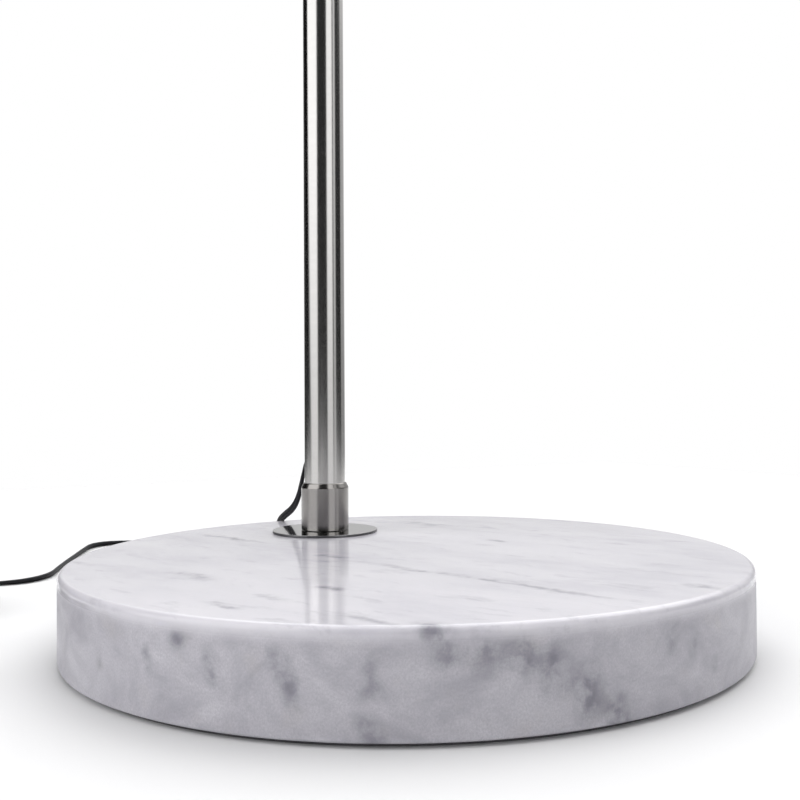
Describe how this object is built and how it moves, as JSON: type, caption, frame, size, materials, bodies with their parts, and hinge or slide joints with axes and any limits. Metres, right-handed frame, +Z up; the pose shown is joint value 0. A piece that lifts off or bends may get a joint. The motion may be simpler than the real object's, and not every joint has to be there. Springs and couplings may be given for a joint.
{
  "type": "arc floor lamp",
  "caption": "Floor lamp with a round marble base, a straight metal pole, a swivelling arc and a tilting dome shade.",
  "frame": {"origin": "centre of the base's underside, on the floor", "axes": "+Z up, +X from the pole through the base's centre, the way the arc reaches at rest"},
  "size_m": [1.3887, 0.4523, 1.8225],
  "materials": {
    "marble": "polished top, honed side",
    "brushed_nickel": "satin brushed nickel plate",
    "shade_metal": "spun, satin nickel outside, white enamel inside",
    "polished_steel": "mirror polished",
    "zinc_steel": "zinc plated",
    "brass": "plain",
    "felt": "pressed felt",
    "black_rubber": "moulded",
    "black_flex": "satin flexible sheath",
    "black_plastic": "fine grained moulding",
    "opal_glass": "opal white"
  },
  "bodies": {
    "stand": {"marble_base": "marble", "felt_pad": "felt", "base_bolt": "zinc_steel", "spring_washer": "zinc_steel", "clamp_washer": "zinc_steel", "cover_plate": "polished_steel", "pole_insert": "zinc_steel", "ferrule": "brushed_nickel", "pole_lower": "brushed_nickel", "cord_grommet": "black_rubber", "pole_coupler": "zinc_steel", "pole_upper": "brushed_nickel", "pole_wire": "black_flex", "swivel_collar": "brushed_nickel", "cord_lead": "black_flex", "cord_tail": "black_flex", "cord_plug_lead": "black_flex", "cord_coil": "black_flex", "cord_tie": "felt", "switch_base": "black_plastic", "switch_cover": "black_plastic", "switch_contacts": "zinc_steel", "switch_spring": "zinc_steel", "plug_body": "black_plastic", "plug_pin_left": "polished_steel", "plug_pin_right": "polished_steel"},
    "clamp_screw": {"clamp_screw": "brushed_nickel"},
    "arc": {"arc_spigot": "zinc_steel", "arc_lower": "brushed_nickel", "arc_coupler_lower": "zinc_steel", "arc_middle": "brushed_nickel", "arc_coupler_upper": "zinc_steel", "arc_upper": "brushed_nickel", "arc_wire": "black_flex", "arc_end_ferrule": "brushed_nickel", "knuckle_upper": "brushed_nickel", "knuckle_screw": "zinc_steel"},
    "tilt_knob": {"tilt_knob": "brushed_nickel"},
    "head": {"knuckle_lower": "brushed_nickel", "threaded_nipple": "zinc_steel", "lock_nut": "zinc_steel", "head_wire": "black_flex", "socket_cup": "brushed_nickel", "lampholder": "black_plastic", "lampholder_shell": "brass", "dome_shade": "shade_metal", "retaining_ring": "black_plastic", "bulb_cap": "zinc_steel", "bulb_glass": "opal_glass"},
    "switch_button": {"switch_button": "black_plastic"}
  },
  "joints": [
    {"name": "arc_swivel", "type": "hinge", "parent": "stand", "child": "arc", "pos_m": [-0.104, 0, 1.2], "axis": [0, 0, 1], "range_deg": [-170, 170]},
    {"name": "shade_tilt", "type": "hinge", "parent": "arc", "child": "head", "pos_m": [0.80178, 0, 1.69152], "axis": [0, 1, 0], "range_deg": [-45, 45]},
    {"name": "clamp_screw_turn", "type": "hinge", "parent": "stand", "child": "clamp_screw", "pos_m": [-0.125, 0, 1.184], "axis": [-1, 0, 0], "range_deg": [0, 270]},
    {"name": "tilt_knob_turn", "type": "hinge", "parent": "arc", "child": "tilt_knob", "pos_m": [0.80178, 0, 1.69152], "axis": [0, -1, 0], "range_deg": [0, 270]},
    {"name": "foot_switch_press", "type": "slide", "parent": "stand", "child": "switch_button", "axis": [0, 0, -1], "range_m": [0, 0.003], "stiffness_N_per_m": 1500, "springref_m": -0.001, "deforming": ["switch_spring"]}
  ]
}
